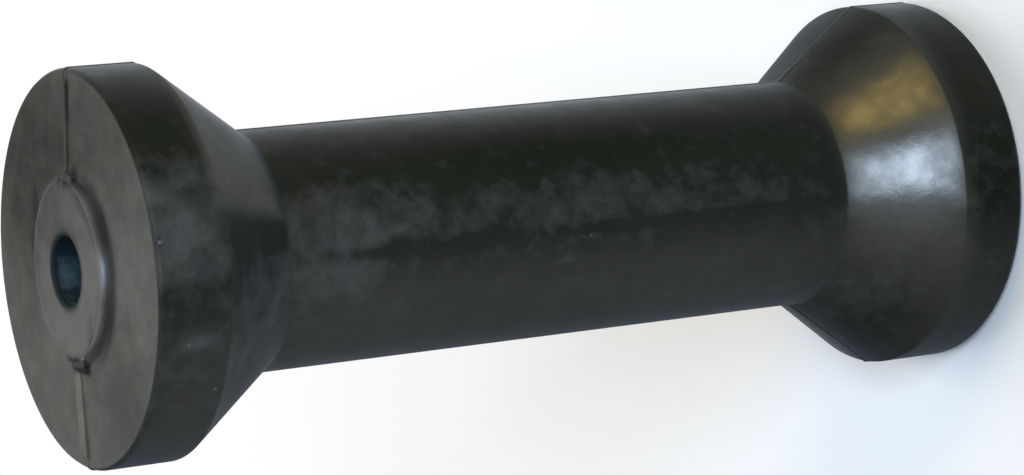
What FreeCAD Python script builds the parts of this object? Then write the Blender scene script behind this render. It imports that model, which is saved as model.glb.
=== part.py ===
"""Keel roller of a boat trailer: one piece of moulded black rubber with a hole for its spindle.

The roller stands on one end. Z is its axis, the origin is the centre of the lower end, and the XZ plane is
the parting plane of the two-part mould that it came out of. Millimetres and degrees.

Each half of the mould is cut a little less than half round, so that the roller lets go when the mould opens
along Y. The halves meet in a faint crease, where the rubber that was squeezed between them still stands
proud as flash. Outlines are given for the lower half, and the upper half mirrors them.
"""
import FreeCAD, Part
import math
import os

# Form of the roller, with radii and heights measured on the parting plane
OVERALL_LENGTH = 250.0
FLANGE_DIAMETER = 95.8
RIM_WIDTH = 18.0
TAPER_LENGTH = 24.6
BARREL_DIAMETER = 59.2
BORE_DIAMETER = 17.0
END_FACE_SLOPE = 2.0

# How far the centre of each mould half lies beyond the parting plane
BODY_SET_BACK = 0.25

# Raised boss on each end, round the bore: its front is a lens with its tips on the parting plane
BOSS_HEIGHT = 2.45
BOSS_FRONT_LENGTH = 42.8
BOSS_FRONT_BREADTH = 36.6
BOSS_FOOT_LENGTH = 46.4
BOSS_FOOT_BREADTH = 45.6
BOSS_WALL_POWER = 1.6
BOSS_WALL_STEPS = 5

# Broken and rounded edges
RIM_EDGE_BREAK = 0.9
RIM_EDGE_RADIUS = 1.3
RIM_INNER_RADIUS = 1.0
BARREL_ROOT_RADIUS = 1.5
BORE_MOUTH_CHAMFER = 0.5

# Flash along the parting plane
FLASH_WIDTH = 0.8
FLASH_HEIGHT = 0.25

# Ridges of flash across the end faces, which leave the parting plane by a small angle and rise outwards
NARROW_RIDGE_WIDTH = 1.2
NARROW_RIDGE_TURN = -2.6
BROAD_RIDGE_WIDTH = 4.0
BROAD_RIDGE_TURN = -0.8
RIDGE_START_HEIGHT = 0.3
RIDGE_END_HEIGHT = 0.6
RIDGE_STOP = 3.0

# Slanting cuts from the bosses' fronts down to the ridges, where a knife took the tips of the bosses away. The
# middle of each lies a little beside the parting plane.
CUT_START = 20.2
CUT_END = 24.1
CUT_SHIFT = -2.0
NARROW_CUT_WIDTH = 7.4
BROAD_CUT_WIDTH = 9.4

# Places that follow from the sizes
FLANGE_RADIUS = FLANGE_DIAMETER / 2
BARREL_RADIUS = BARREL_DIAMETER / 2
BORE_RADIUS = BORE_DIAMETER / 2
TOOL_ALLOWANCE = 2.0
ORIGIN = FreeCAD.Vector(0, 0, 0)
AXIS_DIRECTION = FreeCAD.Vector(0, 0, 1)


def end_face_height(radius):
    """Height of the lower end face, which rises from the boss towards the rim's outer edge."""
    return BOSS_HEIGHT - (FLANGE_RADIUS - radius) * math.tan(math.radians(END_FACE_SLOPE))


def both_ends(lower_corners):
    """Corners of an outline's lower half, followed by their mirror images on its upper half."""
    upper_corners = [(x, OVERALL_LENGTH - z, radius) for x, z, radius in reversed(lower_corners)]
    return lower_corners + upper_corners


def rounded_face(corners):
    """Flat face in the XZ plane, from corners given as X, Z and the radius that rounds each of them."""
    points = [FreeCAD.Vector(x, 0, z) for x, z, _ in corners]
    following = points[1:] + points[:1]
    arcs = []
    ends = []
    for before, corner, after, (_, _, radius) in zip(points[-1:] + points[:-1], points, following, corners):
        back = (before - corner).normalize()
        ahead = (after - corner).normalize()
        half_angle = back.getAngle(ahead) / 2
        reach = radius / math.tan(half_angle)
        ends.append((corner + back * reach, corner + ahead * reach))
        if radius > 0:
            nearest = corner + (back + ahead).normalize() * (radius / math.sin(half_angle) - radius)
            arcs.append(Part.Arc(ends[-1][0], nearest, ends[-1][1]).toShape())
    runs = zip([leaving for _, leaving in ends], [arriving for arriving, _ in ends[1:] + ends[:1]])
    lines = [Part.makeLine(start, end) for start, end in runs]
    return Part.Face(Part.Wire(Part.__sortEdges__(lines + arcs)))


def turned(lower_corners, set_back=0.0):
    """Solid of revolution of an outline, about an axis that stands set back towards +Y."""
    face = rounded_face(both_ends(lower_corners))
    face.translate(FreeCAD.Vector(0, set_back, 0))
    return face.revolve(FreeCAD.Vector(0, set_back, 0), AXIS_DIRECTION, 360)


def body_corners(end_height, proud=0.0):
    """Corners of the rim's broken edge, the rim, the taper and the barrel.

    The break starts at end_height, and a positive value of proud moves the outline out of the rubber.
    """
    slope = math.atan2(FLANGE_RADIUS - BARREL_RADIUS, TAPER_LENGTH)
    taper_start = BOSS_HEIGHT + RIM_WIDTH + proud * math.tan(slope / 2)
    return [
        (FLANGE_RADIUS + proud - RIM_EDGE_BREAK, end_height, RIM_EDGE_RADIUS),
        (FLANGE_RADIUS + proud, end_height + RIM_EDGE_BREAK, RIM_EDGE_RADIUS),
        (FLANGE_RADIUS + proud, taper_start, RIM_INNER_RADIUS),
        (BARREL_RADIUS + proud, taper_start + TAPER_LENGTH, BARREL_ROOT_RADIUS),
    ]


def lens(length, breadth, z):
    """Outline of two arcs that meet in tips on the X axis, at height z."""
    tips = [FreeCAD.Vector(side * length / 2, 0, z) for side in (-1, 1)]
    arcs = [Part.Arc(tips[0], FreeCAD.Vector(0, side * breadth / 2, z), tips[1]).toShape() for side in (-1, 1)]
    return Part.Wire(Part.__sortEdges__(arcs))


def lower_boss():
    """Boss on the lower end.

    Its wall starts level with the front and gets steeper towards the foot, as a power of the way there. The
    last outline continues it into the rubber behind the end face.
    """
    drop = end_face_height(BOSS_FOOT_LENGTH / 2)
    outlines = [lens(BOSS_FRONT_LENGTH, BOSS_FRONT_BREADTH, 0.0)]
    for step in range(BOSS_WALL_STEPS + 1):
        way = (step + 0.5) / BOSS_WALL_STEPS
        length = BOSS_FRONT_LENGTH + (BOSS_FOOT_LENGTH - BOSS_FRONT_LENGTH) * way
        breadth = BOSS_FRONT_BREADTH + (BOSS_FOOT_BREADTH - BOSS_FRONT_BREADTH) * way
        outlines.append(lens(length, breadth, drop * way ** BOSS_WALL_POWER))
    return Part.makeLoft(outlines, True, True)


def bore():
    """The hole for the spindle, through the whole length, with its broken mouths."""
    outside = BORE_RADIUS + BORE_MOUTH_CHAMFER + TOOL_ALLOWANCE
    return turned([
        (0.0, -TOOL_ALLOWANCE, 0),
        (outside, -TOOL_ALLOWANCE, 0),
        (BORE_RADIUS, BORE_MOUTH_CHAMFER, 0),
    ])


def mould_half():
    """The half of the body that one half of the mould formed, on the -Y side of the parting plane."""
    middle = (0.0, end_face_height(0.0), 0)
    body = turned([middle] + body_corners(end_face_height(FLANGE_RADIUS - RIM_EDGE_BREAK)), BODY_SET_BACK)
    reach = 2 * FLANGE_DIAMETER
    half_space = Part.makeBox(reach, reach, OVERALL_LENGTH, FreeCAD.Vector(-reach / 2, -reach, 0))
    return body.common(half_space)


def on_both_ends(lower):
    """A shape of the lower end, and its mirror image on the upper end."""
    middle = FreeCAD.Vector(0, 0, OVERALL_LENGTH / 2)
    return [lower, lower.mirror(middle, AXIS_DIRECTION)]


def plate(corners, width):
    """Flat plate of a given width, centred on the parting plane, from the corners of its outline."""
    face = rounded_face(corners)
    face.translate(FreeCAD.Vector(0, -width / 2, 0))
    return face.extrude(FreeCAD.Vector(0, width, 0))


def side_flash():
    """Thin line of flash along the rims, tapers and barrel, on both sides."""
    right = both_ends(body_corners(BOSS_HEIGHT - FLASH_HEIGHT, FLASH_HEIGHT))
    left = [(-x, z, radius) for x, z, radius in reversed(right)]
    return plate(right + left, FLASH_WIDTH)


def ridge(side, width, turn):
    """Ridge across one side of the lower end face, from inside the boss to near the rim's edge."""
    end = FLANGE_RADIUS - RIDGE_STOP
    root = end_face_height(FLANGE_RADIUS) + TOOL_ALLOWANCE
    crest = plate([
        (side * CUT_START, root, 0),
        (side * CUT_START, end_face_height(CUT_START) - RIDGE_START_HEIGHT, 0),
        (side * end, end_face_height(end) - RIDGE_END_HEIGHT, 0),
        (side * end, root, 0),
    ], width)
    crest.rotate(ORIGIN, AXIS_DIRECTION, turn)
    return crest


def cut_height(radius):
    """Height of the slanting cut, which starts level with the boss's front and meets the ridge at its end."""
    drop = end_face_height(CUT_END) - RIDGE_START_HEIGHT
    return drop * (radius - CUT_START) / (CUT_END - CUT_START)


def cut_wedge(side, width, end, level):
    """Wedge on one side of the lower end, between the slanting cut and a level: rubber above, or air below."""
    wedge = plate([
        (side * CUT_START, cut_height(CUT_START), 0),
        (side * end, cut_height(end), 0),
        (side * end, level, 0),
        (side * CUT_START, level, 0),
    ], width)
    wedge.translate(FreeCAD.Vector(0, CUT_SHIFT, 0))
    return wedge


def keel_roller():
    """The finished roller: two mirrored halves grown together with bosses and flash, then trimmed and bored."""
    half = mould_half()
    other_half = half.mirror(ORIGIN, FreeCAD.Vector(0, 1, 0))
    added = [
        lower_boss(),
        ridge(1, NARROW_RIDGE_WIDTH, NARROW_RIDGE_TURN),
        ridge(-1, BROAD_RIDGE_WIDTH, BROAD_RIDGE_TURN),
    ]
    trimmed = []
    for side, width in ((1, NARROW_CUT_WIDTH), (-1, BROAD_CUT_WIDTH)):
        added.append(cut_wedge(side, width, CUT_END + TOOL_ALLOWANCE, BOSS_HEIGHT + TOOL_ALLOWANCE))
        trimmed.append(cut_wedge(side, width, BOSS_FOOT_LENGTH / 2, -TOOL_ALLOWANCE))
    ends = [piece for lower in added for piece in on_both_ends(lower)]
    tools = [piece for lower in trimmed for piece in on_both_ends(lower)]
    return half.fuse([other_half, side_flash()] + ends).cut(tools + [bore()]).removeSplitter().Solids[0]


def main():
    """Build the roller, write it and print its size."""
    os.makedirs("parts", exist_ok=True)
    roller = keel_roller()
    roller.exportStep("parts/keel_roller.step")
    box = roller.optimalBoundingBox(False)
    print("keel_roller valid", roller.isValid(), "faces", len(roller.Faces))
    print("size in mm", round(box.XLength, 2), round(box.YLength, 2), round(box.ZLength, 2))
    print("volume in cm3", round(roller.Volume / 1000, 1))


main()
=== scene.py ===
"""Visual model of a boat trailer's keel roller: one piece of moulded black rubber, standing on its end.

The roller is a closed surface worked out on a grid. One direction of the grid runs along the roller's
outline, from the middle of the bore out over the boss, the end face, the rim, the taper and the barrel, and
back through the bore. The other direction runs once round the axis. Sizes are in millimetres, and only the
finished meshes, the lamps and the camera are in metres. The XZ plane is the mould's parting plane.
"""
import logging
import math
from dataclasses import dataclass, field
from enum import Enum, IntEnum
from typing import NamedTuple

import bpy
import numpy as np
from mathutils import Matrix, Vector


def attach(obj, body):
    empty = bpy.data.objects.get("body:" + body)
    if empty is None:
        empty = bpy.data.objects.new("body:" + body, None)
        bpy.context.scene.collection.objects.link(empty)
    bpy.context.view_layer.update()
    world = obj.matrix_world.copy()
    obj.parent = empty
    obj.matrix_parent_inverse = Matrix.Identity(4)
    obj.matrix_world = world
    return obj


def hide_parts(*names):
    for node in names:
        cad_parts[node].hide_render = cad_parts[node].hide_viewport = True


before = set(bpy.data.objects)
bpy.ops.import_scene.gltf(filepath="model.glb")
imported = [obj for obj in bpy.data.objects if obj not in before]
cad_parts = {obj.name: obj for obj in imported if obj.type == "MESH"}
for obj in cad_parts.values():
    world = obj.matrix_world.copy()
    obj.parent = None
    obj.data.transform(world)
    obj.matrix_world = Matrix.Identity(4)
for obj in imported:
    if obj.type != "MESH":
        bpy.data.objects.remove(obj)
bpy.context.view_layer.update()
LOG = logging.getLogger("keel_roller")

MM = 0.001
OVERALL_LENGTH = 250.0
WHITE = "#FFFFFF"

# How far below an end, in mm, the patches of that end still count
END_PATCH_DEPTH = 8.0

# Rounded corners of the outline turn by steps of about this many degrees
ARC_STEP = 12.0

Array = np.ndarray
Colour = tuple[float, float, float, float]
Range = tuple[float, float]
Tree = bpy.types.NodeTree
Socket = bpy.types.NodeSocket


def linear(hex_colour: str) -> Colour:
    """Turn an sRGB colour into the linear values that the shaders use.

    The darkest values are divided by 12.92, and the others follow a power of 2.4.

    Args:
        hex_colour: the colour as #RRGGBB.

    Returns:
        Linear red, green and blue, and an alpha of 1.
    """
    parts = [int(hex_colour[i:i + 2], 16) / 255 for i in (1, 3, 5)]
    red, green, blue = (c / 12.92 if c <= 0.04045 else ((c + 0.055) / 1.055) ** 2.4 for c in parts)
    return red, green, blue, 1.0


def add_node(tree: Tree, kind: str, inputs: dict | None = None, **settings: object) -> bpy.types.Node:
    """Add a node to a tree, set its own settings, and fill or link its sockets.

    Args:
        tree: the node tree that gets the node.
        kind: the node's type name.
        inputs: for each socket, by name or number, a value or the output socket that feeds it.
        settings: the node's own properties.

    Returns:
        The new node.
    """
    node = tree.nodes.new(kind)
    for name, value in settings.items():
        setattr(node, name, value)
    for socket, value in (inputs or {}).items():
        if isinstance(value, Socket):
            tree.links.new(value, node.inputs[socket])
        else:
            node.inputs[socket].default_value = value
    return node


def smooth(value: Array) -> Array:
    """Ease a value from 0 to 1: three times its square less twice its cube, with the value held to 0..1."""
    held = np.clip(value, 0.0, 1.0)
    return held * held * (3 - 2 * held)


def soft_minimum(one: Array, other: Array, blend: float) -> Array:
    """The lesser of two values, rounded off where they differ by less than the blend."""
    share = np.clip(blend - np.abs(one - other), 0.0, None) / blend
    return np.minimum(one, other) - share * share * blend / 4


def degrees_apart(points: Array, azimuth: float) -> Array:
    """How far round the axis each point lies from an azimuth, in degrees from 0 to 180."""
    own = np.degrees(np.arctan2(points[..., 1], points[..., 0]))
    return np.abs((own - azimuth + 180) % 360 - 180)


class Zone(IntEnum):
    """The parts of the roller's surface that were made or worn in their own way, in the outline's order."""

    BORE = 0
    BOSS_FRONT = 1
    BOSS_WALL = 2
    END_FACE = 3
    SIDE = 4


class Layer(Enum):
    """Layers of wear and of painted light and shade, each named after the mesh attribute that holds its
    strength.

    The film is wax and dust that cover evenly, and it also carries painted light: the rubber is made
    lighter on the side where more light fell on it. Bloom is the grey that comes out of old rubber in
    blotches, and some of its patches are painted shade or painted light instead, each said where it is
    listed. Scuffs are light nicks. The gloss is how smooth and mirroring the skin is.
    """

    FILM_AND_PAINTED_LIGHT = "film"
    BLOOM = "bloom"
    SCUFF = "scuff"
    GLOSS = "gloss"


@dataclass(frozen=True)
class SidePatch:
    """A patch on the rims, tapers or barrel, with the azimuth and height of its middle as on the real one.

    Its strength falls off as exp(-(da / turn)^edge - (dz / along)^edge), with da and dz the distances in
    degrees and mm from its middle. An edge of 2 is soft, and a higher one makes it end more suddenly.
    """

    azimuth: float
    height: float
    turn: float
    along: float
    strength: float
    edge: float = 2.0

    def strengths(self, points: Array, zone: Array) -> Array:
        """Work the patch out on the surface.

        Args:
            points: the surface's points, in mm.
            zone: the zone of each row of points.

        Returns:
            The patch's strength at each point, which is nothing on the ends and in the bore.
        """
        apart = degrees_apart(points, self.azimuth) / self.turn
        along = np.abs(points[..., 2] - self.height) / self.along
        fall = np.exp(-(apart ** self.edge) - along ** self.edge)
        return np.where((zone == Zone.SIDE)[:, None], self.strength * fall, 0.0)


@dataclass(frozen=True)
class EndPatch:
    """A patch on an end, in mm from the axis, with the same fall-off as a patch on the side."""

    x: float
    y: float
    reach_x: float
    reach_y: float
    strength: float
    edge: float = 2.0
    height: float = OVERALL_LENGTH

    def strengths(self, points: Array, zone: Array) -> Array:
        """Work the patch out on the surface.

        Args:
            points: the surface's points, in mm.
            zone: the zone of each row of points.

        Returns:
            The patch's strength at each point, which is nothing on the side and on the other end.
        """
        across = np.abs(points[..., 0] - self.x) / self.reach_x
        down = np.abs(points[..., 1] - self.y) / self.reach_y
        fall = np.exp(-(across ** self.edge) - down ** self.edge)
        near = np.abs(points[..., 2] - self.height) < END_PATCH_DEPTH
        return np.where(near & (zone != Zone.SIDE)[:, None], self.strength * fall, 0.0)


@dataclass(frozen=True)
class RingPatch:
    """A soft ring or arc round the axis on both ends, at a radius and at a depth below the nearer end.

    Its strength falls off as exp(-(distance / reach)^2 - (da / turn)^4), with da the degrees from its
    middle. A turn of 1000 makes it a whole ring.
    """

    radius: float
    depth: float
    reach: float
    strength: float
    azimuth: float = 0.0
    turn: float = 1000.0

    def strengths(self, points: Array, zone: Array) -> Array:
        """Work the ring out on the surface.

        Args:
            points: the surface's points, in mm.
            zone: the zone of each row of points, which makes no difference to a ring.

        Returns:
            The ring's strength at each point.
        """
        depth = np.minimum(points[..., 2], OVERALL_LENGTH - points[..., 2])
        radius = np.hypot(points[..., 0], points[..., 1])
        away = np.hypot(radius - self.radius, depth - self.depth) / self.reach
        apart = degrees_apart(points, self.azimuth) / self.turn
        return self.strength * np.exp(-(away ** 2) - apart ** 4)


Patch = SidePatch | EndPatch | RingPatch


@dataclass(frozen=True)
class Pattern:
    """A cloudy pattern: its clouds' size in mm, how many finer steps break them up, and how strongly."""

    size: float
    detail: float
    strength: float


@dataclass(frozen=True)
class RubberFinish:
    """A finish of the moulded black rubber, under its layers of wear.

    A range of roughness or specular runs from no gloss to full gloss. Bloom and scuffs show where their
    layer and a pattern add up to more than the start of their edge, and cover the rubber at its end. The
    film is multiplied by a factor that runs over film_evenness with the blotches, and the gloss by one that
    runs over gloss_evenness with the tints. The haze is the light that fine dust scatters at a glancing
    view. Depths are in mm. Rubber is no metal, and its refractive index is close to the shader's own 1.5,
    so those two stay as they are.
    """

    name: str
    clean: str
    filmed: str
    bloomed_warm: str
    bloomed_cool: str
    scuffed: str
    roughness: Range
    specular: Range
    bloom_edge: Range
    blotches: Pattern
    waves: Pattern
    wave_depth: float
    grain_depth: float
    tints: Pattern = Pattern(7.0, 4.0, 0.55)
    specks: Pattern = Pattern(1.3, 3.0, 0.6)
    # The mould's own grain is finer. It is drawn at 0.7 mm, as coarse as it needs to show.
    grain: Pattern = Pattern(0.7, 3.0, 0.6)
    scuff_edge: Range = (1.0, 1.25)
    blotch_range: Range = (0.0, 1.0)
    tint_range: Range = (0.35, 0.65)
    film_blotches: Range = (0.3, 0.7)
    film_evenness: Range = (0.8, 1.2)
    gloss_evenness: Range = (1.1, 0.9)
    haze: float = 0.0
    haze_roughness: float = 0.4
    haze_colour: str = WHITE

    def material(self) -> bpy.types.Material:
        """Make the node material of this finish.

        Returns:
            The material, which reads Object coordinates and the mesh's layers of wear.
        """
        made = bpy.data.materials.new(self.name)
        made.use_nodes = True
        tree = made.node_tree
        tree.nodes.clear()
        place = add_node(tree, "ShaderNodeTexCoord").outputs["Object"]
        wear = {
            layer: add_node(tree, "ShaderNodeAttribute", attribute_name=layer.value).outputs["Fac"]
            for layer in Layer}
        blotch, tint, speck, wave, grain = (
            add_node(tree, "ShaderNodeTexNoise", {
                "Vector": place, "Scale": 1 / (pattern.size * MM),
                "Detail": pattern.detail, "Roughness": pattern.strength,
            }).outputs["Fac"]
            for pattern in (self.blotches, self.tints, self.specks, self.waves, self.grain))
        tint = add_node(tree, "ShaderNodeMapRange", {
            "Value": tint, "From Min": self.tint_range[0], "From Max": self.tint_range[1],
        }).outputs["Result"]
        evenness = add_node(tree, "ShaderNodeMapRange", {
            "Value": tint, "To Min": self.gloss_evenness[0], "To Max": self.gloss_evenness[1],
        }).outputs["Result"]
        gloss = add_node(tree, "ShaderNodeMath", {
            0: wear[Layer.GLOSS], 1: evenness,
        }, operation="MULTIPLY", use_clamp=True).outputs[0]
        roughness, specular = (
            add_node(tree, "ShaderNodeMapRange", {
                "Value": gloss, "To Min": ends[0], "To Max": ends[1],
            }).outputs["Result"]
            for ends in (self.roughness, self.specular))
        waved = add_node(tree, "ShaderNodeBump", {
            "Height": wave, "Strength": 1.0, "Distance": self.wave_depth * MM,
        }).outputs["Normal"]
        grained = add_node(tree, "ShaderNodeBump", {
            "Height": grain, "Strength": 1.0, "Distance": self.grain_depth * MM, "Normal": waved,
        }).outputs["Normal"]
        shader = add_node(tree, "ShaderNodeBsdfPrincipled", {
            "Base Color": self.colour(tree, wear, blotch, tint, speck),
            "Roughness": roughness,
            "Specular IOR Level": specular,
            "Normal": grained,
            "Sheen Weight": self.haze,
            "Sheen Roughness": self.haze_roughness,
            "Sheen Tint": linear(self.haze_colour),
        }).outputs["BSDF"]
        add_node(tree, "ShaderNodeOutputMaterial", {"Surface": shader})
        return made

    def colour(
        self, tree: Tree, wear: dict[Layer, Socket], blotch: Socket, tint: Socket, speck: Socket
    ) -> Socket:
        """Lay film, bloom and scuffs, and the painted light and shade they carry, on the clean rubber in
        turn.

        Args:
            tree: the material's node tree.
            wear: the strength of each layer of wear and painted light.
            blotch: the pattern that breaks up the bloom, and the film a little.
            tint: the pattern that runs from warm to cool bloom.
            speck: the pattern that breaks up the scuffs.

        Returns:
            The colour that the eye sees.
        """
        blotch = add_node(tree, "ShaderNodeMapRange", {
            "Value": blotch, "To Min": self.blotch_range[0], "To Max": self.blotch_range[1],
        }).outputs["Result"]
        evenness = add_node(tree, "ShaderNodeMapRange", {
            "Value": blotch, "From Min": self.film_blotches[0], "From Max": self.film_blotches[1],
            "To Min": self.film_evenness[0], "To Max": self.film_evenness[1],
        }).outputs["Result"]
        film = add_node(tree, "ShaderNodeMath", {
            0: wear[Layer.FILM_AND_PAINTED_LIGHT], 1: evenness,
        }, operation="MULTIPLY", use_clamp=True).outputs[0]
        colour, bloomed = (
            add_node(tree, "ShaderNodeMix", {
                "Factor": share, "A": linear(one), "B": linear(other),
            }, data_type="RGBA").outputs["Result"]
            for share, one, other in (
                (film, self.clean, self.filmed), (tint, self.bloomed_warm, self.bloomed_cool)))
        for layer, pattern, edge, coat in (
            (Layer.BLOOM, blotch, self.bloom_edge, bloomed),
            (Layer.SCUFF, speck, self.scuff_edge, linear(self.scuffed)),
        ):
            total = add_node(tree, "ShaderNodeMath", {
                0: wear[layer], 1: pattern,
            }, operation="ADD").outputs[0]
            share = add_node(tree, "ShaderNodeMapRange", {
                "Value": total, "From Min": edge[0], "From Max": edge[1],
            }).outputs["Result"]
            colour = add_node(tree, "ShaderNodeMix", {
                "Factor": share, "A": colour, "B": coat,
            }, data_type="RGBA").outputs["Result"]
        return colour


# Weather has turned the skin of the end faces matt: a cloudy, faintly warm grey with hardly a reflection
WEATHERED_END = RubberFinish(
    "end_rubber_moulded_weathered", clean="#141412", filmed="#2A2A26", bloomed_warm="#525147",
    bloomed_cool="#4A4C47", scuffed="#7A7A72", roughness=(0.62, 0.45), specular=(0.03, 0.4),
    bloom_edge=(0.66, 1.42), blotches=Pattern(7.0, 5.0, 0.55), blotch_range=(0.22, 0.78),
    waves=Pattern(5.0, 4.0, 0.55), wave_depth=0.03, grain_depth=0.02, tints=Pattern(5.0, 4.0, 0.55))

# The bore's wall is as the core pin left it: a dull hollow, whose blue-grey is painted sky light
# on the black rubber, with paler clouds near its mouth
SKY_PAINTED_CORE_PIN_BORE = RubberFinish(
    "bore_rubber_core_pin_painted_sky", clean="#172226", filmed="#172226", bloomed_warm="#394A4F",
    bloomed_cool="#374C57", scuffed="#505A60", roughness=(0.6, 0.5), specular=(0.05, 0.15),
    bloom_edge=(0.74, 1.2), blotches=Pattern(2.6, 9.0, 0.68),
    waves=Pattern(4.0, 4.0, 0.55), wave_depth=0.02, grain_depth=0.02)

# The boss's wall came off a smooth part of the mould and kept its black skin, so that it shows a bright
# reflection where it is glossy; the dark band beside it is deepened by painted shade at the boss's foot
SMOOTH_BOSS_WALL = RubberFinish(
    "boss_wall_rubber_moulded_smooth", clean="#0B0C0B", filmed="#1A1A18", bloomed_warm="#161714",
    bloomed_cool="#121517", scuffed="#6A6A62", roughness=(0.4, 0.1), specular=(0.05, 0.5),
    bloom_edge=(0.9, 1.5), blotches=Pattern(5.0, 9.0, 0.68),
    waves=Pattern(5.0, 4.0, 0.55), wave_depth=0.02, grain_depth=0.01)

# The sides came off a satin mould: greenish black, dull to softly shining, with waves that make reflections
# uneven, grey mottling where bloom has come out, and a thin blue haze at a glancing view
SATIN_SIDE = RubberFinish(
    "side_rubber_moulded_satin", clean="#0E120A", filmed="#3E3E39", bloomed_warm="#43443F",
    bloomed_cool="#44494C", scuffed="#8E9498", roughness=(0.65, 0.2), specular=(0.0, 0.5),
    bloom_edge=(0.57, 1.32), blotches=Pattern(6.0, 9.0, 0.68), blotch_range=(0.04, 0.96),
    waves=Pattern(5.0, 4.0, 0.55), wave_depth=0.07, grain_depth=0.015, scuff_edge=(0.9, 1.5),
    haze=0.035, haze_colour="#5AAAFF")

FINISHES = {
    Zone.BORE: SKY_PAINTED_CORE_PIN_BORE,
    Zone.BOSS_FRONT: WEATHERED_END,
    Zone.BOSS_WALL: SMOOTH_BOSS_WALL,
    Zone.END_FACE: WEATHERED_END,
    Zone.SIDE: SATIN_SIDE,
}


class Corner(NamedTuple):
    """A corner of the outline, at a radius and at a depth below the boss's front, in mm.

    It is rounded by the radius called rounding. The stretch that follows it has a grid line at least every
    spacing, and belongs to the zone.
    """

    radius: float
    depth: float
    rounding: float
    spacing: float
    zone: Zone


@dataclass(frozen=True)
class Ridge:
    """A ridge of flash across one side of an end, and the cut in which it starts.

    Its side is 1 towards +X and -1 towards -X. Its turn is the angle in degrees by which it leaves the
    parting plane. Widths are in mm.
    """

    side: int
    width: float
    turn: float
    cut_width: float


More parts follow.
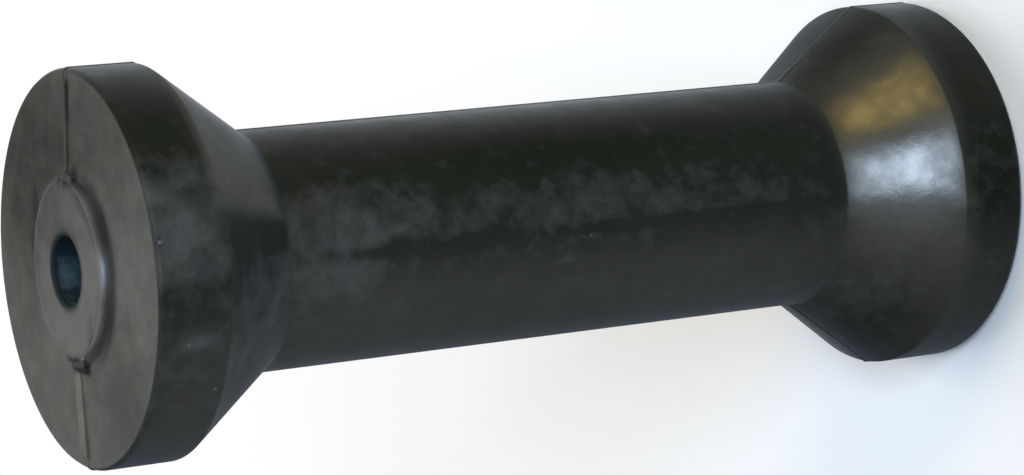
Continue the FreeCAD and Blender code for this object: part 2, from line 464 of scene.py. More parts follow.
@dataclass
class KeelRoller:
    """The roller's one piece of rubber, with its sizes in mm as they are on the parting plane.

    The boss's front and foot have a reach along X and one along Y. Its wall has its own finish from
    wall_start outwards. A ridge has the first of ridge_heights where it starts and the second where it
    ends. The flash keeps its height as far out as flash_crest, and has run out at its reach on the end or
    side. The tables of wear, which also hold painted light and shade, list patches by their fields, in
    order.
    """

    overall_length: float = OVERALL_LENGTH
    flange_radius: float = 47.9
    rim_width: float = 18.0
    taper_length: float = 24.6
    barrel_radius: float = 29.6
    bore_radius: float = 8.5
    end_face_slope: float = 2.0
    body_set_back: float = 0.25
    boss_height: float = 2.45
    boss_front: tuple[float, float] = (21.4, 18.3)
    boss_foot: tuple[float, float] = (23.2, 22.8)
    boss_wall_power: float = 1.6
    boss_fillet: float = 0.3
    wall_start: float = 21.95
    rim_edge_break: float = 0.9
    rim_edge_radius: float = 1.3
    rim_inner_radius: float = 1.0
    barrel_root_radius: float = 1.5
    bore_mouth_chamfer: float = 0.5
    bore_mouth_radius: float = 0.2
    flash_height: float = 0.25
    flash_crest: float = 0.2
    flash_end_reach: float = 0.6
    flash_side_reach: float = 1.0
    ridges: tuple[Ridge, ...] = (Ridge(1, 1.2, -2.6, 7.4), Ridge(-1, 4.0, -0.8, 9.4))
    ridge_heights: tuple[float, float] = (0.3, 0.6)
    ridge_stop: float = 3.0
    ridge_softness: float = 0.3
    cut_start: float = 20.2
    cut_end: float = 24.1
    cut_shift: float = -2.0
    # Grid: how far the bore and the end face beyond the boss keep fine lines, how far the lines beside the
    # parting plane lie from it, and the number of lines in the rest of each quarter
    bore_seen_depth: float = 14.0
    fine_past_foot: float = 1.8
    seam_spacing: tuple[float, ...] = (
        0, 0.15, 0.25, 0.4, 0.6, 0.8, 1.0, 1.2, 1.4, 1.6, 1.8,
        2.0, 2.2, 2.4, 2.6, 2.8, 3.1, 3.5, 4.0, 4.6, 5.3, 6.1)
    columns_to_side: int = 42
    side_wear: dict[Layer, float] = field(default_factory=lambda: {
        Layer.FILM_AND_PAINTED_LIGHT: 0.0, Layer.BLOOM: 0.0, Layer.SCUFF: 0.0, Layer.GLOSS: 0.25})
    end_wear: dict[Layer, float] = field(default_factory=lambda: {
        Layer.FILM_AND_PAINTED_LIGHT: 0.0, Layer.BLOOM: 0.5, Layer.SCUFF: 0.0, Layer.GLOSS: 0.2})
    wear: dict[Layer, tuple[Patch, ...]] = field(default_factory=lambda: {
        Layer.FILM_AND_PAINTED_LIGHT: (
            # Painted light along the barrel, denser towards the upper taper: lighter where more light fell
            # on it
            SidePatch(-132, 125, 34, 104, 0.46, 4.0),
            SidePatch(-130, 190, 30, 26, 0.2),
            # Lower rim and taper: the first two are painted light where more light fell, the third a film
            SidePatch(-125, 12, 26, 12, 0.25, 4.0),
            SidePatch(-116, 32, 16, 12, 0.25, 3.0),
            SidePatch(-45, 10, 26, 10, 0.12, 4.0),
            # Upper rim, lighter there as painted light, and the sharply ending film on the upper taper
            SidePatch(-125, 238, 22, 14, 0.3, 4.0),
            SidePatch(-46, 219, 25, 12, 0.75, 14.0),
        ),
        Layer.BLOOM: (
            # The line of flash on both sides, lightened as painted light over the shade on its flank
            SidePatch(0, 125, 1.5, 130, 0.12, 4.0),
            SidePatch(180, 125, 1.5, 130, 0.15, 4.0),
            SidePatch(-0.6, 32, 1.4, 14, 0.25, 4.0),
            SidePatch(180, 32, 1.4, 14, 0.2, 4.0),
            # The pale smear on the upper rim, with lighter and darker places in it
            SidePatch(-73, 240, 17, 12, 0.37, 5.0),
            SidePatch(-66, 245, 3.5, 2.5, 0.12),
            SidePatch(-73, 238, 4.0, 3.0, 0.12),
            SidePatch(-80, 240, 3.5, 3.0, 0.1),
            SidePatch(-61, 243, 3.0, 3.0, -0.2),
            SidePatch(-77, 247, 3.0, 2.5, -0.2),
            SidePatch(-66, 236, 3.0, 3.0, -0.2),
            SidePatch(-84, 235, 3.5, 3.0, -0.15),
            # Thinner bloom on the upper rim, the tapers and the barrel's upper part
            SidePatch(-94, 240, 12, 12, 0.14),
            SidePatch(-118, 240, 14, 12, 0.12),
            SidePatch(-104, 217, 20, 11, 0.2, 3.0),
            SidePatch(-78, 190, 21, 22, 0.27, 3.0),
            SidePatch(-100, 194, 16, 14, 0.34),
            # Painted reflection: a bluish glow on the lower taper, below the window's reflection
            SidePatch(-97, 32, 10, 12, 0.3),
            # The mottled band along the barrel, and the lower taper's far part
            SidePatch(-82, 140, 17, 40, 0.17, 3.0),
            SidePatch(-82, 85, 15, 40, 0.15, 3.0),
            SidePatch(-62, 125, 20, 80, 0.03),
            SidePatch(-140, 38, 18, 10, 0.25),
            # Single flecks on the barrel
            SidePatch(-80.2, 175.7, 2.0, 2.0, 0.3),
            SidePatch(-88.0, 163.5, 1.8, 2.6, 0.4),
            SidePatch(-93.3, 123.1, 2.0, 3.4, 0.35),
            SidePatch(-104.5, 130.0, 2.0, 2.6, 0.3),
            # The dark streak through the mottled band
            SidePatch(-90.3, 171, 3.9, 25, -0.5),
            SidePatch(-90.5, 118, 2.8, 12, -0.32),
            SidePatch(-90.5, 80, 2.8, 28, -0.32),
            # Lower rim, a rub on the upper rim, and on the upper taper a painted reflection of the dark
            # barrel
            SidePatch(-82, 12, 16, 10, 0.1, 4.0),
            SidePatch(-107.4, 238.0, 1.8, 4.2, 0.5, 3.0),
            SidePatch(-77, 213, 8, 6, -0.3, 3.0),
            # The rims' outer edges, made a little lighter as a painted highlight on their rounding
            RingPatch(47.2, 3.0, 0.9, 0.08),
            # Painted shade in the bore: darker at its mouths and deeper inside
            RingPatch(8.8, 0.2, 0.9, -0.6),
            RingPatch(8.5, 11.0, 5.0, -0.3),
            # Painted light on the bore's far wall, and painted shade towards two other sides of it
            RingPatch(8.5, 4.0, 4.0, 0.12, 95, 30),
            RingPatch(8.5, 5.0, 4.0, -0.3, 42, 34),
            RingPatch(8.5, 5.0, 4.0, -0.2, 150, 26),
            # Painted shade on the boss's front beside the bore
            EndPatch(8, 0, 3, 10, -0.3),
            # Painted shade: the corner at the boss's foot, darkened where the end face mirrors the boss's
            # dark wall
            RingPatch(23.7, 1.65, 2.2, -0.42, -90, 62),
            # Painted shade on the narrow ridge's shaded side, and painted light along its crest and lit
            # flank
            EndPatch(41, -1.9, 5, 0.9, -0.2, 4.0),
            EndPatch(28, -1.3, 8, 0.8, -0.1, 4.0),
            EndPatch(27, 0.1, 7, 0.7, 0.25, 4.0),
            # Painted shade along the boss's far and near edges
            EndPatch(5.7, 23.4, 1.9, 1.0, -0.6),
            EndPatch(17.8, -10.6, 2.6, 2.6, -0.45),
            EndPatch(14.6, -14.2, 2.8, 2.4, -0.45),
            EndPatch(10.6, -16.6, 2.6, 1.8, -0.3),
            EndPatch(15.0, 20.3, 4.0, 1.3, -0.36),
            EndPatch(-14.5, -12.6, 4.0, 1.6, -0.45),
            # Marks round the boss: a nick at the bore's mouth, a darker smear and a light mark
            EndPatch(-7.8, -4.4, 1.0, 1.3, -0.5),
            EndPatch(-10.5, -31.0, 3.5, 5.0, -0.15),
            EndPatch(-13.3, -36.5, 1.2, 2.2, 0.3),
            # Broad differences across the end face
            EndPatch(-4, -30, 30, 16, 0.06),
            EndPatch(22, 20, 26, 30, -0.2),
            EndPatch(34, -28, 16, 20, -0.1),
            EndPatch(-30, -26, 14, 12, -0.12),
            # The broad ridge's pale crest, and the cuts in which both ridges start, darkened as painted
            # shade
            EndPatch(-33, 0.4, 11, 2.0, 0.45, 4.0),
            EndPatch(-22.4, -2.3, 1.9, 4.6, -0.5, 6.0),
            EndPatch(22.2, -3.0, 2.0, 3.4, -0.2, 4.0),
        ),
        Layer.SCUFF: (
            # Nicks on the upper rim
            SidePatch(-107.4, 238.0, 1.8, 4.6, 0.38, 3.0),
            SidePatch(-122.9, 231.8, 1.2, 1.0, 0.75),
            SidePatch(-78.2, 245.8, 1.2, 1.0, 0.7),
            # Nicks on the barrel and on the end face
            SidePatch(-80.2, 175.7, 2.6, 2.4, 0.4),
            SidePatch(-88.0, 163.5, 1.8, 2.0, 0.34),
            SidePatch(-93.3, 123.1, 2.4, 2.2, 0.4),
            EndPatch(-13.6, -33.0, 1.1, 3.0, 0.36),
        ),
        Layer.GLOSS: (
            # Smoother skin on both sides of one line of flash
            SidePatch(0, 125, 12, 140, 0.2),
            SidePatch(-4, 125, 30, 84, 0.2, 3.0),
            SidePatch(0, 240, 24, 12, 0.16, 3.0),
            SidePatch(0, 10, 24, 12, 0.2, 3.0),
            # The tapers, the upper rim, and the barrel beside the mottled band
            SidePatch(-120, 218, 26, 12, -0.08, 3.0),
            SidePatch(-150, 32, 24, 14, -0.12),
            SidePatch(-8, 218, 20, 11, 0.35, 3.0),
            SidePatch(-46, 125, 22, 84, -0.15),
            SidePatch(-42, 241, 16, 9, -0.12),
            # The smooth lower taper, which mirrors the lamps, and the duller rim below it
            SidePatch(-68, 32, 42, 13, 0.6, 6.0),
            SidePatch(-12, 32, 24, 14, -0.1),
            SidePatch(10, 32, 30, 14, -0.08),
            SidePatch(-84, 12, 60, 8, -0.15),
            # Duller skin beside the other line of flash
            SidePatch(-150, 125, 24, 140, -0.12),
            SidePatch(-174, 125, 14, 140, -0.12),
            SidePatch(-168, 240, 18, 14, -0.1),
            # The bright place on the boss's wall, its dull foot, and the bore's mouths
            RingPatch(20.9, 0.6, 1.5, 0.5, -86, 15),
            RingPatch(23.7, 1.65, 2.2, -0.2, -90, 62),
            RingPatch(8.8, 0.2, 0.9, -0.3),
            # Broad differences across the end face and the boss's front
            EndPatch(26, 20, 26, 34, -0.25),
            EndPatch(34, -28, 16, 20, -0.1),
            EndPatch(-30, -26, 14, 12, -0.1),
            EndPatch(0, -30, 12, 16, 0.1),
            EndPatch(0, 0, 21, 18, 0.16, 8.0),
            EndPatch(0, 34, 40, 14, -0.06),
            # The cuts in which both ridges start
            EndPatch(-22.4, -2.3, 1.9, 4.6, -0.3, 6.0),
            EndPatch(22.2, -3.0, 2.0, 3.4, -0.15, 4.0),
        ),
    })

    @staticmethod
    def hidden_wear(seed: int = 7) -> dict[Layer, tuple[Patch, ...]]:
        """Wear of the sides that the photograph doesn't show, scattered like the wear that it does show.

        Args:
            seed: start of the random numbers, so that the roller comes out the same each time.

        Returns:
            Patches for the film, bloom and gloss on the far side and, for the bloom, on the lower end too.
        """
        rng = np.random.default_rng(seed)
        found: dict[Layer, tuple[Patch, ...]] = {}
        for layer, count, weakest, strongest in (
            (Layer.FILM_AND_PAINTED_LIGHT, 6, 0.2, 0.5), (Layer.BLOOM, 12, 0.12, 0.36), (Layer.GLOSS, 6, -0.15, 0.1),
        ):
            # Azimuth, height, turn, along and strength of a patch
            low = (28, 8, 9, 10, weakest)
            high = (152, 242, 22, 46, strongest)
            found[layer] = tuple(SidePatch(*values) for values in rng.uniform(low, high, (count, 5)))
        spots = rng.uniform((-36, -36, 10, 10, -0.2), (36, 36, 26, 26, 0.08), (9, 5))
        found[Layer.BLOOM] += tuple(EndPatch(*values, height=0.0) for values in spots)
        return found

    def end_face_depth(self, radius: Array | float) -> Array | float:
        """Depth of the end face below the boss's front, which grows by the slope's tangent outwards."""
        slope = math.tan(math.radians(self.end_face_slope))
        return self.boss_height - (self.flange_radius - radius) * slope

    def outline_corners(self) -> list[Corner]:
        """List the corners of half the outline.

        Returns:
            The corners, from the middle of the bore to the middle of the barrel.
        """
        mouth = self.bore_radius + self.bore_mouth_chamfer
        foot = self.boss_foot[0]
        past_foot = foot + self.fine_past_foot
        edge = self.flange_radius - self.rim_edge_break
        edge_depth = self.end_face_depth(edge)
        rim_start = edge_depth + self.rim_edge_break
        taper_start = self.boss_height + self.rim_width
        taper_end = taper_start + self.taper_length
        middle = self.overall_length / 2
        return [
            Corner(self.bore_radius, middle, 0.0, 12.0, Zone.BORE),
            Corner(self.bore_radius, self.bore_seen_depth, 0.0, 1.2, Zone.BORE),
            Corner(self.bore_radius, self.bore_mouth_chamfer, self.bore_mouth_radius, 0.3, Zone.BORE),
            Corner(mouth, 0.0, self.bore_mouth_radius, 0.95, Zone.BOSS_FRONT),
            Corner(self.boss_front[0], 0.0, 0.0, 0.24, Zone.BOSS_FRONT),
            Corner(self.wall_start, 0.0, 0.0, 0.24, Zone.BOSS_WALL),
            Corner(foot, self.end_face_depth(foot), 0.0, 0.3, Zone.END_FACE),
            Corner(past_foot, self.end_face_depth(past_foot), 0.0, 0.9, Zone.END_FACE),
            Corner(edge, edge_depth, self.rim_edge_radius, 0.5, Zone.SIDE),
            Corner(self.flange_radius, rim_start, self.rim_edge_radius, 2.2, Zone.SIDE),
            Corner(self.flange_radius, taper_start, self.rim_inner_radius, 1.7, Zone.SIDE),
            Corner(self.barrel_radius, taper_end, self.barrel_root_radius, 2.3, Zone.SIDE),
            Corner(self.barrel_radius, middle, 0.0, 2.3, Zone.SIDE),
        ]

    def outline(self) -> tuple[Array, Array, Array]:
        """Lay points along the whole closed outline.

        A rounded corner is the arc of its radius that touches both stretches. A straight stretch has points
        at equal steps no longer than its spacing.

        Returns:
            The radius, the height above the floor and the zone of each point.
        """
        corners = self.outline_corners()
        places = np.array([(corner.radius, corner.depth) for corner in corners])
        runs: list[Array] = []
        zones: list[Array] = []
        leaving = places[0]
        for i in range(1, len(corners)):
            last, corner = corners[i - 1], corners[i]
            arc = places[i][None, :]
            if corner.rounding > 0:
                arc = self.corner_arc(places[i - 1], places[i], places[i + 1], corner.rounding)
            steps = max(1, math.ceil(float(np.linalg.norm(arc[0] - leaving)) / last.spacing))
            share = np.arange(steps)[:, None] / steps
            runs += [leaving + (arc[0] - leaving) * share, arc[:-1]]
            zones += [np.full(steps, last.zone), np.full(len(arc) - 1, min(last.zone, corner.zone))]
            leaving = arc[-1]
        half = np.vstack(runs + [leaving[None, :]])
        half_zones = np.concatenate(zones + [np.array([Zone.SIDE])])
        other = half[::-1][1:-1]
        radius = np.concatenate([half[:, 0], other[:, 0]])
        height = np.concatenate([self.overall_length - half[:, 1], other[:, 1]])
        return radius, height, np.concatenate([half_zones, half_zones[::-1][1:-1]])

    @staticmethod
    def corner_arc(before: Array, corner: Array, after: Array, radius: float) -> Array:
        """Round a corner between two straight stretches.

        The arc starts and ends at radius / tan(half the corner's angle) from the corner. Its points turn
        evenly about the centre, which lies at radius / sin(half the angle) along the bisector.

        Args:
            before: the corner before.
            corner: the corner to be rounded.
            after: the corner after.
            radius: the arc's radius.

        Returns:
            The arc's points, in order.
        """
        back = (before - corner) / np.linalg.norm(before - corner)
        ahead = (after - corner) / np.linalg.norm(after - corner)
        half_angle = math.acos(float(np.clip(back @ ahead, -1, 1))) / 2
        reach = radius / math.tan(half_angle)
        bisector = (back + ahead) / np.linalg.norm(back + ahead)
        centre = corner + bisector * radius / math.sin(half_angle)
        start = corner + back * reach - centre
        end = corner + ahead * reach - centre
        sweep = math.pi - 2 * half_angle
        steps = max(2, math.ceil(math.degrees(sweep) / ARC_STEP))
        turn = np.linspace(0.0, 1.0, steps + 1)[:, None] * sweep
        return centre + (start * np.sin(sweep - turn) + end * np.sin(turn)) / math.sin(sweep)

    def angles(self, radius: Array) -> Array:
        """Place the grid's lines round the axis.

        Beside the parting plane the lines keep their distances from it, so their angles are the arcsines of
        distance over radius. The rest of each quarter is divided evenly.

        Args:
            radius: the radius of each point of the outline.

        Returns:
            The angles of the lines at each radius, in radians.
        """
        near = np.arcsin(np.array(self.seam_spacing) / radius[:, None])
        share = np.arange(1, self.columns_to_side + 1) / self.columns_to_side
        rest = near[:, -1:] + (math.pi / 2 - near[:, -1:]) * share
        quarter = np.hstack([near, rest])
        half = np.hstack([quarter, math.pi - quarter[:, -2::-1]])
        return np.hstack([half, 2 * math.pi - half[:, -2:0:-1]])

    def surface(self) -> tuple[Array, Array]:
        """Work out the roller's surface as a grid of points.

        Round the axis each outline point draws two arcs that meet on the parting plane. With L its radius
        there and B its reach along Y, the arcs' radius is R = (L^2 + B^2) / 2B and their centres lie
        c = R - B beyond the plane, so at angle a the surface is at sqrt(R^2 - c^2 cos^2 a) - c |sin a|.
        L - B grows from nothing at the bore's mouth to the boss front's own, and falls again to the body's
        set-back.

        Returns:
            The points, outline by angle by XYZ, in mm, and the zone of each outline point.
        """
        radius, height, zone = self.outline()
        angle = self.angles(radius)
        depth = np.minimum(height, self.overall_length - height)
        front, foot = self.boss_front, self.boss_foot
        edge = self.flange_radius - self.rim_edge_break
        less_on_end = np.interp(
            radius,
            [self.bore_radius + self.bore_mouth_chamfer, front[0], foot[0], edge],
            [0.0, front[0] - front[1], foot[0] - foot[1], self.body_set_back])
        on_end = (zone != Zone.SIDE) & (zone != Zone.BORE)
        less = np.where(zone == Zone.BORE, 0.0, np.where(on_end, less_on_end, self.body_set_back))
        breadth = radius - less
        arc_radius = ((radius ** 2 + breadth ** 2) / (2 * breadth))[:, None]
        centre = arc_radius - breadth[:, None]
        reach = np.sqrt(arc_radius ** 2 - (centre * np.cos(angle)) ** 2) - centre * np.abs(np.sin(angle))
        x = reach * np.cos(angle)
        y = reach * np.sin(angle)
        end_depth = np.where(on_end[:, None], self.end_depth(radius, x, y), depth[:, None])
        upper = (height > self.overall_length / 2)[:, None]
        z = np.where(upper, self.overall_length - end_depth, end_depth)
        z = np.where(on_end[:, None], z, height[:, None])
        out_x, out_z = self.raised_on_side(x, y, radius, height, zone)
        return np.stack([x + out_x, y, z + out_z], axis=-1), zone

    def flash_share(self, y: Array, reach: float) -> Array:
        """Share of the flash's height at y from the parting plane, eased off between crest and reach."""
        return smooth((reach - np.abs(y)) / (reach - self.flash_crest))

    def end_depth(self, radius: Array, x: Array, y: Array) -> Array:
        """Work out the depth of an end below the boss's front.

        The boss's wall falls as a power of the way from the front's edge to the foot, and runs out softly
        into the end face. Ridges, cuts and the flash line are then laid on it.

        Args:
            radius: the radius of each outline point on the parting plane.
            x: the points' places along X.
            y: the points' places along Y.

        Returns:
            The depth of each point.
        """
        way = np.clip((radius - self.boss_front[0]) / (self.boss_foot[0] - self.boss_front[0]), 0.0, None)
        wall = self.end_face_depth(self.boss_foot[0]) * way ** self.boss_wall_power
        own_radius = np.hypot(x, np.abs(y) + self.body_set_back)
        depth = soft_minimum(wall[:, None], self.end_face_depth(own_radius), self.boss_fillet)
        depth = np.clip(depth, 0.0, None)
        flash = self.flash_share(y, self.flash_end_reach)
        depth -= np.clip(depth - self.boss_height + self.flash_height, 0.0, None) * flash
        for ridge in self.ridges:
            depth = self.with_ridge(ridge, x, y, depth)
        return depth

    def with_ridge(self, ridge: Ridge, x: Array, y: Array, depth: Array) -> Array:
        """Lay a ridge and its slanting cut on an end.

        The crest's depth is a straight line between its height at the cut's start and at the ridge's end.
        Across, the ridge keeps its height to half its width and falls off over the softness. The cut is a
        slope that falls from the boss's front to the crest: it fills what lies below it, and takes the
        boss's tip away.

        Args:
            ridge: the ridge, with its cut.
            x: the points' places along X.
            y: the points' places along Y.
            depth: the depth of each point without the ridge.

        Returns:
            The depth of each point with the ridge and the cut.
        """
        turn = math.radians(ridge.turn)
        along = ridge.side * (x * math.cos(turn) + y * math.sin(turn))
        across = np.abs(y * math.cos(turn) - x * math.sin(turn))
        end = self.flange_radius - self.ridge_stop
        crest = np.interp(along, [self.cut_start, end], [
            self.end_face_depth(self.cut_start) - self.ridge_heights[0],
            self.end_face_depth(end) - self.ridge_heights[1],
        ])
        within = smooth((ridge.width / 2 - across) / self.ridge_softness + 0.5)
        within = within * smooth((end - along) / self.ridge_softness + 0.5) * (along > self.cut_start)
        depth = depth - np.clip(depth - crest, 0.0, None) * within
        way = (ridge.side * x - self.cut_start) / (self.cut_end - self.cut_start)
        slope = way * (self.end_face_depth(self.cut_end) - self.ridge_heights[0])
        aside = np.abs(y - self.cut_shift)
        within = smooth((ridge.cut_width / 2 - aside) / self.ridge_softness + 0.5) * (way > 0)
        depth = depth - np.clip(depth - slope, 0.0, None) * within
        taken = within * (ridge.side * x < self.boss_foot[0])
        return depth + np.clip(slope - depth, 0.0, None) * taken

    def raised_on_side(
        self, x: Array, y: Array, radius: Array, height: Array, zone: Array
    ) -> tuple[Array, Array]:
        """Step out to the flash line along the rims, tapers and barrel, along the outline's own normal.

        Args:
            x: the points' places along X.
            y: the points' places along Y.
            radius: the radius of each outline point.
            height: the height of each outline point.
            zone: the zone of each outline point.

        Returns:
            The steps along X and along Z, in mm.
        """
        step_r = np.roll(radius, -1) - np.roll(radius, 1)
        step_z = np.roll(height, -1) - np.roll(height, 1)
        length = np.hypot(step_r, step_z)
        normal_r = -step_z / length
        normal_z = step_r / length
        proud = self.flash_height * self.flash_share(y, self.flash_side_reach)
        out = np.where((zone == Zone.SIDE)[:, None], proud, 0.0)
        return out * normal_r[:, None] * np.sign(x), out * normal_z[:, None]

    def build(self) -> bpy.types.Object:
        """Make the roller's mesh with its zones and wear, and let it stand for the plain solid.

        Returns:
            The finished object.
        """
        points, zone = self.surface()
        rows, columns = points.shape[:2]
        here = np.arange(rows * columns).reshape(rows, columns)
        below = np.roll(here, -1, axis=0)
        beside = np.roll(here, -1, axis=1)
        opposite = np.roll(below, -1, axis=1)
        quads = np.stack([here, below, opposite, beside], axis=-1).reshape(-1, 4)
        mesh = bpy.data.meshes.new("keel_roller_rubber")
        mesh.from_pydata((points.reshape(-1, 3) * MM).tolist(), [], quads.tolist())
        mesh.polygons.foreach_set("use_smooth", np.ones(len(quads), bool))
        row_zone = np.maximum(zone, np.roll(zone, -1))
        mesh.polygons.foreach_set("material_index", np.repeat(row_zone, columns).astype(np.int32))
        self.add_wear_and_painted_light(mesh, points, zone)
        mesh.validate()
        mesh.update()
        made = bpy.data.objects.new("keel_roller_rubber", mesh)
        bpy.context.scene.collection.objects.link(made)
        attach(made, "root")
        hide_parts("keel_roller")
        return made

    def add_wear_and_painted_light(self, mesh: bpy.types.Mesh, points: Array, zone: Array) -> None:
        """Store each layer of wear and painted light on the mesh: its base value with the sum of its
        patches, held to 0..1.

        Args:
            mesh: the roller's mesh.
            points: the surface's points, in mm.
            zone: the zone of each row of points.
        """
        side = (zone == Zone.SIDE)[:, None]
        hidden = self.hidden_wear()
        for layer in Layer:
            base = np.where(side, self.side_wear[layer], self.end_wear[layer])
            patches = self.wear[layer] + hidden.get(layer, ())
            total = base + sum(patch.strengths(points, zone) for patch in patches)
            attribute = mesh.attributes.new(layer.value, "FLOAT", "POINT")
            attribute.data.foreach_set("value", np.clip(total, 0, 1).ravel().astype(np.float32))

    @staticmethod
    def dress(made: bpy.types.Object, finishes: dict[Zone, RubberFinish]) -> None:
        """Give each zone of the roller its finish. Zones with the same finish share one material.

        Args:
            made: the roller's object.
            finishes: the finish of each zone.
        """
        materials = {finish: finish.material() for finish in dict.fromkeys(finishes.values())}
        for zone in Zone:
            made.data.materials.append(materials[finishes[zone]])


@dataclass(frozen=True)
class Softbox:
    """An oblong lamp with an even face, aimed at a point.

    Azimuth, elevation, width and height are in degrees as seen from that point, and distances in metres. A
    radiance of 1 is white.
    """

    name: str
    azimuth: float
    elevation: float
    distance: float
    wide: float
    high: float
    radiance: float
    colour: str
    aim: tuple[float, float, float] = (0.0, 0.0, 0.05)

    def build(self) -> None:
        """Hang the lamp.

        A side is twice the distance times the tangent of half its angle, and the power is pi times the area
        times the radiance.
        """
        turn, rise = math.radians(self.azimuth), math.radians(self.elevation)
        way = Vector((math.cos(rise) * math.cos(turn), math.cos(rise) * math.sin(turn), math.sin(rise)))
        lamp = bpy.data.lights.new(self.name, "AREA")
        lamp.shape = "RECTANGLE"
        lamp.size = 2 * self.distance * math.tan(math.radians(self.wide / 2))
        lamp.size_y = 2 * self.distance * math.tan(math.radians(self.high / 2))
        lamp.energy = self.radiance * math.pi * lamp.size * lamp.size_y
        lamp.color = linear(self.colour)[:3]
        hung = bpy.data.objects.new(self.name, lamp)
        hung.location = Vector(self.aim) + way * self.distance
        hung.rotation_mode = "QUATERNION"
        hung.rotation_quaternion = way.to_track_quat("Z", "Y")
        bpy.context.scene.collection.objects.link(hung)


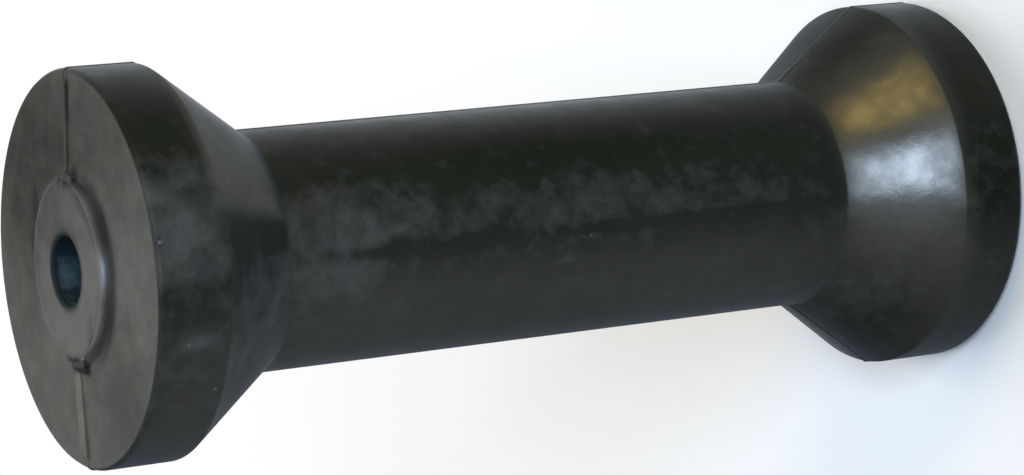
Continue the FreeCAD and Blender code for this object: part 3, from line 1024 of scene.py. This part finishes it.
@dataclass(frozen=True)
class Studio:
    """The plain pale floor, the white surroundings and the lamps, in metres.

    The paper of the floor runs out into plain white between the two distances of paper_reach. The fill is
    how strongly the surroundings light the roller, where 1 is white.
    """

    floor_reach: float = 6.0
    floor_colour: str = "#F4F4F4"
    paper_reach: Range = (0.12, 0.55)
    fill: float = 0.1
    lamps: tuple[Softbox, ...] = (
        # A cool window beside the roller, mirrored by the lower taper
        Softbox("window_softbox", -75.0, 36.5, 1.6, 25.0, 10.0, 36.8, "#D6EAFF"),
        # A warm light further round, whose gold stands beside the window's reflection
        Softbox("warm_softbox", -22.0, 28.0, 1.5, 30.0, 12.0, 9.1, "#FFD970"),
        # A narrow light high up, for the bright line on the boss's wall
        Softbox("high_softbox", 100.0, 68.0, 1.5, 6.0, 14.0, 11.0, "#BCD6FF", (0.0, -0.02, 0.25)),
        # A broad light above, aimed at the floor behind the roller, which also lights the upper edges
        Softbox("back_softbox", 90.0, 76.0, 0.8, 50.0, 50.0, 3.4, WHITE, (0.02, 0.42, 0.0)),
    )

    def build(self) -> None:
        """Lay the floor, light the surroundings and hang the lamps."""
        side = self.floor_reach
        corners = [(-side, -side, 0.0), (side, -side, 0.0), (side, side, 0.0), (-side, side, 0.0)]
        mesh = bpy.data.meshes.new("studio_floor")
        mesh.from_pydata(corners, [], [(0, 1, 2, 3)])
        floor = bpy.data.objects.new("studio_floor", mesh)
        bpy.context.scene.collection.objects.link(floor)
        mesh.materials.append(self.floor_material())
        self.light_surroundings()
        for lamp in self.lamps:
            lamp.build()

    @staticmethod
    def seen_rays(tree: Tree) -> Socket:
        """Tell apart the rays that show something white from those that only light the roller.

        Args:
            tree: the node tree of the floor's material or of the surroundings.

        Returns:
            A socket that is 1 for rays from the camera and from mirroring or clear surfaces, and else 0.
        """
        path = add_node(tree, "ShaderNodeLightPath")
        seen = path.outputs["Is Camera Ray"]
        for kind in ("Is Glossy Ray", "Is Transmission Ray"):
            seen = add_node(tree, "ShaderNodeMath", {
                0: seen, 1: path.outputs[kind],
            }, operation="MAXIMUM").outputs[0]
        return seen

    def floor_material(self) -> bpy.types.Material:
        """Make matt white paper, which takes the roller's shadow and looks plain white away from it.

        Returns:
            The floor's material.
        """
        made = bpy.data.materials.new("matt_white_paper")
        made.use_nodes = True
        tree = made.node_tree
        tree.nodes.clear()
        place = add_node(tree, "ShaderNodeTexCoord").outputs["Object"]
        away = add_node(tree, "ShaderNodeVectorMath", {0: place}, operation="LENGTH").outputs["Value"]
        far = add_node(tree, "ShaderNodeMapRange", {
            "Value": away, "From Min": self.paper_reach[0], "From Max": self.paper_reach[1],
        }, interpolation_type="SMOOTHSTEP").outputs["Result"]
        share = add_node(tree, "ShaderNodeMath", {
            0: far, 1: self.seen_rays(tree),
        }, operation="MULTIPLY").outputs[0]
        paper = add_node(tree, "ShaderNodeBsdfDiffuse", {
            "Color": linear(self.floor_colour),
        }).outputs["BSDF"]
        white = add_node(tree, "ShaderNodeEmission", {
            "Color": linear(WHITE), "Strength": 1.0,
        }).outputs["Emission"]
        mixed = add_node(tree, "ShaderNodeMixShader", {0: share, 1: paper, 2: white}).outputs["Shader"]
        add_node(tree, "ShaderNodeOutputMaterial", {"Surface": mixed})
        return made

    def light_surroundings(self) -> None:
        """Make surroundings that look white and light the roller by no more than the fill."""
        world = bpy.data.worlds.new("white_surroundings")
        world.use_nodes = True
        tree = world.node_tree
        tree.nodes.clear()
        strength = add_node(tree, "ShaderNodeMapRange", {
            "Value": self.seen_rays(tree), "To Min": self.fill, "To Max": 1.0,
        }).outputs["Result"]
        light = add_node(tree, "ShaderNodeBackground", {
            "Color": linear(WHITE), "Strength": strength,
        }).outputs["Background"]
        add_node(tree, "ShaderNodeOutputWorld", {"Surface": light})
        bpy.context.scene.world = world


@dataclass(frozen=True)
class PhotoCamera:
    """A camera at the photograph's place, which is beside the standing roller and lies on its side.

    Places and the clip distances are in metres, the sensor's width and the focal length in mm, and the roll
    about the line of sight in degrees.
    """

    location: tuple[float, float, float] = (0.0874451, -0.7490221, 0.5567546)
    aim: tuple[float, float, float] = (-0.0037076, -0.0004513, 0.1286966)
    roll: float = -96.3686
    focal_length: float = 120.2433
    sensor_width: float = 36.0
    nearest: float = 0.05
    farthest: float = 50.0

    def build(self) -> None:
        """Place the camera, looking from its location at its aim, and turned by the roll."""
        seen = bpy.data.cameras.new("photo_camera")
        seen.sensor_width = self.sensor_width
        seen.lens = self.focal_length
        seen.clip_start = self.nearest
        seen.clip_end = self.farthest
        view = Vector(self.aim) - Vector(self.location)
        level = view.to_track_quat("-Z", "Y").to_matrix().to_4x4()
        placed = bpy.data.objects.new("photo_camera", seen)
        turned = Matrix.Rotation(math.radians(self.roll), 4, "Z")
        placed.matrix_world = Matrix.Translation(self.location) @ level @ turned
        bpy.context.scene.collection.objects.link(placed)
        bpy.context.scene.camera = placed


def main() -> None:
    """Build the camera, the studio and the roller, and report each."""
    logging.basicConfig(level=logging.INFO, format="%(message)s")
    bpy.context.scene.view_settings.view_transform = "Standard"
    PhotoCamera().build()
    LOG.info("camera placed")
    Studio().build()
    LOG.info("studio lit")
    roller = KeelRoller()
    piece = roller.build()
    roller.dress(piece, FINISHES)
    LOG.info("roller: %d faces", len(piece.data.polygons))


if __name__ == "__main__":
    main()
